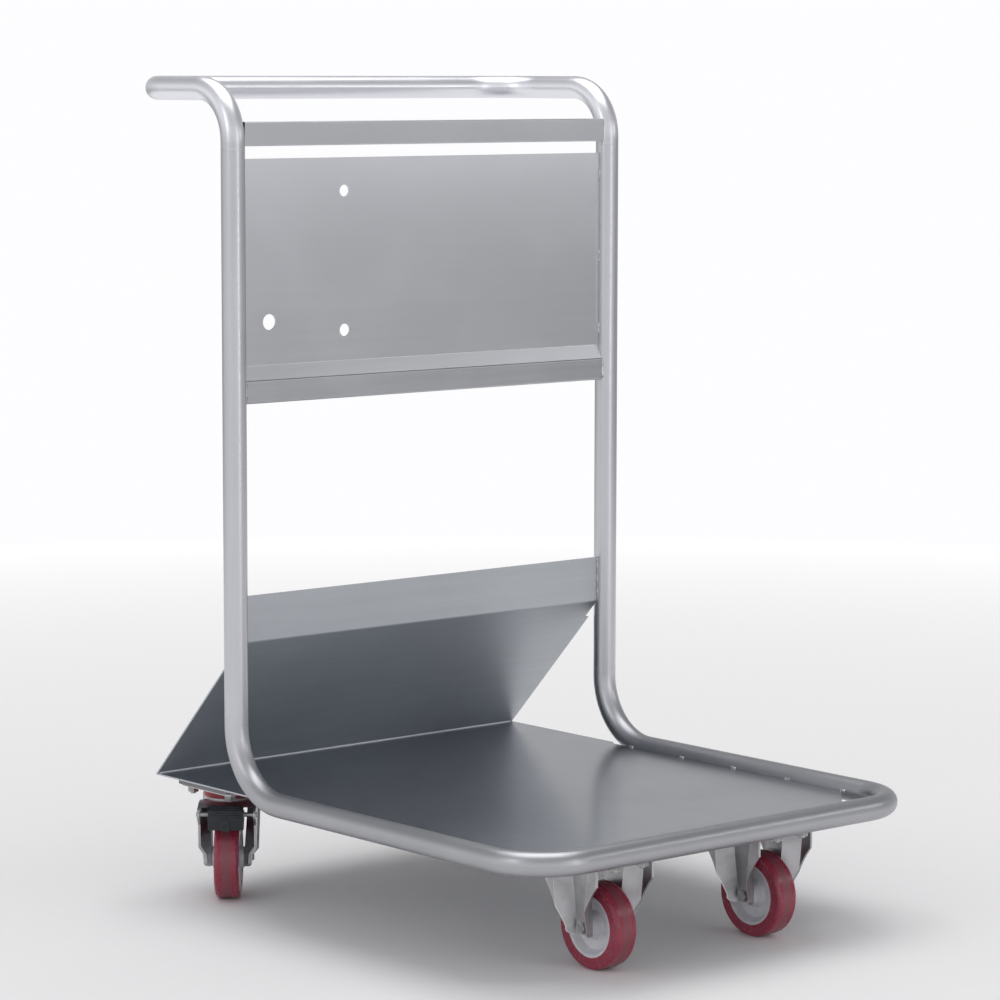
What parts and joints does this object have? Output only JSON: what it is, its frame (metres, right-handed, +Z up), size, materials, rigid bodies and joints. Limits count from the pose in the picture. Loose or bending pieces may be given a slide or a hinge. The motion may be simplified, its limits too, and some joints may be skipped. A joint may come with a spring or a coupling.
{
  "type": "luggage cart",
  "caption": "Stainless steel hotel luggage cart with a tube loop handle, sheet deck, drilled back panel, sloping kick panel, fixed front casters and braked swivel rear casters.",
  "frame": {"origin": "on the floor, under the middle of the overall width and depth", "axes": "+Z up, +X across the cart, -Y towards the deck's free end and +Y towards the handle"},
  "size_m": [0.65, 0.808, 1.055],
  "materials": {
    "tube_steel": "satin polished stainless tube",
    "sheet_steel": "fine brushed stainless sheet",
    "deck_steel": "cold rolled stainless sheet, semi gloss",
    "bar_steel": "brushed stainless bar",
    "zinc_steel": "bright zinc plated pressed steel",
    "fastener_steel": "zinc plated fasteners",
    "bearing_steel": "ground bearing steel",
    "tread_red": "cast polyurethane, semi gloss",
    "hub_nylon": "moulded light grey nylon",
    "seal_red": "moulded red plastic",
    "pedal_black": "moulded black nylon"
  },
  "bodies": {
    "frame": {"handle_tube": "tube_steel", "base_tube": "tube_steel", "left_upright": "tube_steel", "right_upright": "tube_steel", "top_bar": "bar_steel", "middle_bar": "bar_steel", "back_panel": "sheet_steel", "deck_plate": "deck_steel", "kick_panel": "sheet_steel", "front_channel": "sheet_steel", "rear_channel": "sheet_steel", "caster_bolts": "fastener_steel", "caster_nuts": "fastener_steel", "caster_washers": "fastener_steel", "front_left_bracket": "zinc_steel", "front_left_axle_sleeve": "bearing_steel", "front_left_axle_bolt": "fastener_steel", "front_left_axle_nut": "fastener_steel", "rear_left_top_plate": "zinc_steel", "rear_left_kingpin": "fastener_steel", "rear_left_swivel_balls": "bearing_steel", "front_right_bracket": "zinc_steel", "front_right_axle_sleeve": "bearing_steel", "front_right_axle_bolt": "fastener_steel", "front_right_axle_nut": "fastener_steel", "rear_right_top_plate": "zinc_steel", "rear_right_kingpin": "fastener_steel", "rear_right_swivel_balls": "bearing_steel"},
    "front_left_wheel": {"front_left_tread": "tread_red", "front_left_hub": "hub_nylon", "front_left_bearings": "bearing_steel"},
    "rear_left_swivel_fork": {"rear_left_fork": "zinc_steel", "rear_left_dust_seal": "seal_red", "rear_left_pedal_pin": "fastener_steel", "rear_left_brake_spring": "bearing_steel", "rear_left_axle_sleeve": "bearing_steel", "rear_left_axle_bolt": "fastener_steel", "rear_left_axle_nut": "fastener_steel"},
    "rear_left_wheel": {"rear_left_tread": "tread_red", "rear_left_hub": "hub_nylon", "rear_left_bearings": "bearing_steel"},
    "rear_left_pedal": {"rear_left_brake_pedal": "pedal_black", "rear_left_brake_lever": "zinc_steel"},
    "front_right_wheel": {"front_right_tread": "tread_red", "front_right_hub": "hub_nylon", "front_right_bearings": "bearing_steel"},
    "rear_right_swivel_fork": {"rear_right_fork": "zinc_steel", "rear_right_dust_seal": "seal_red", "rear_right_pedal_pin": "fastener_steel", "rear_right_brake_spring": "bearing_steel", "rear_right_axle_sleeve": "bearing_steel", "rear_right_axle_bolt": "fastener_steel", "rear_right_axle_nut": "fastener_steel"},
    "rear_right_wheel": {"rear_right_tread": "tread_red", "rear_right_hub": "hub_nylon", "rear_right_bearings": "bearing_steel"},
    "rear_right_pedal": {"rear_right_brake_pedal": "pedal_black", "rear_right_brake_lever": "zinc_steel"}
  },
  "joints": [
    {"name": "front_left_roll", "type": "hinge", "parent": "frame", "child": "front_left_wheel", "pos_m": [-0.133, -0.301, 0.0525], "axis": [1, 0, 0], "continuous": true},
    {"name": "rear_left_swivel", "type": "hinge", "parent": "frame", "child": "rear_left_swivel_fork", "pos_m": [-0.224, 0.313, 0.13], "axis": [0, 0, 1], "continuous": true},
    {"name": "rear_left_roll", "type": "hinge", "parent": "rear_left_swivel_fork", "child": "rear_left_wheel", "pos_m": [-0.24478, 0.28867, 0.0525], "axis": [0.7604, -0.6494, 0], "continuous": true},
    {"name": "rear_left_pedal_press", "type": "hinge", "parent": "rear_left_swivel_fork", "child": "rear_left_pedal", "pos_m": [-0.26492, 0.26509, 0.1145], "axis": [0.7604, -0.6494, 0], "range_deg": [0, 14]},
    {"name": "front_right_roll", "type": "hinge", "parent": "frame", "child": "front_right_wheel", "pos_m": [0.133, -0.301, 0.0525], "axis": [1, 0, 0], "continuous": true},
    {"name": "rear_right_swivel", "type": "hinge", "parent": "frame", "child": "rear_right_swivel_fork", "pos_m": [0.224, 0.313, 0.13], "axis": [0, 0, 1], "continuous": true},
    {"name": "rear_right_roll", "type": "hinge", "parent": "rear_right_swivel_fork", "child": "rear_right_wheel", "pos_m": [0.20322, 0.28867, 0.0525], "axis": [0.7604, -0.6494, 0], "continuous": true},
    {"name": "rear_right_pedal_press", "type": "hinge", "parent": "rear_right_swivel_fork", "child": "rear_right_pedal", "pos_m": [0.18308, 0.26509, 0.1145], "axis": [0.7604, -0.6494, 0], "range_deg": [0, 14]}
  ]
}
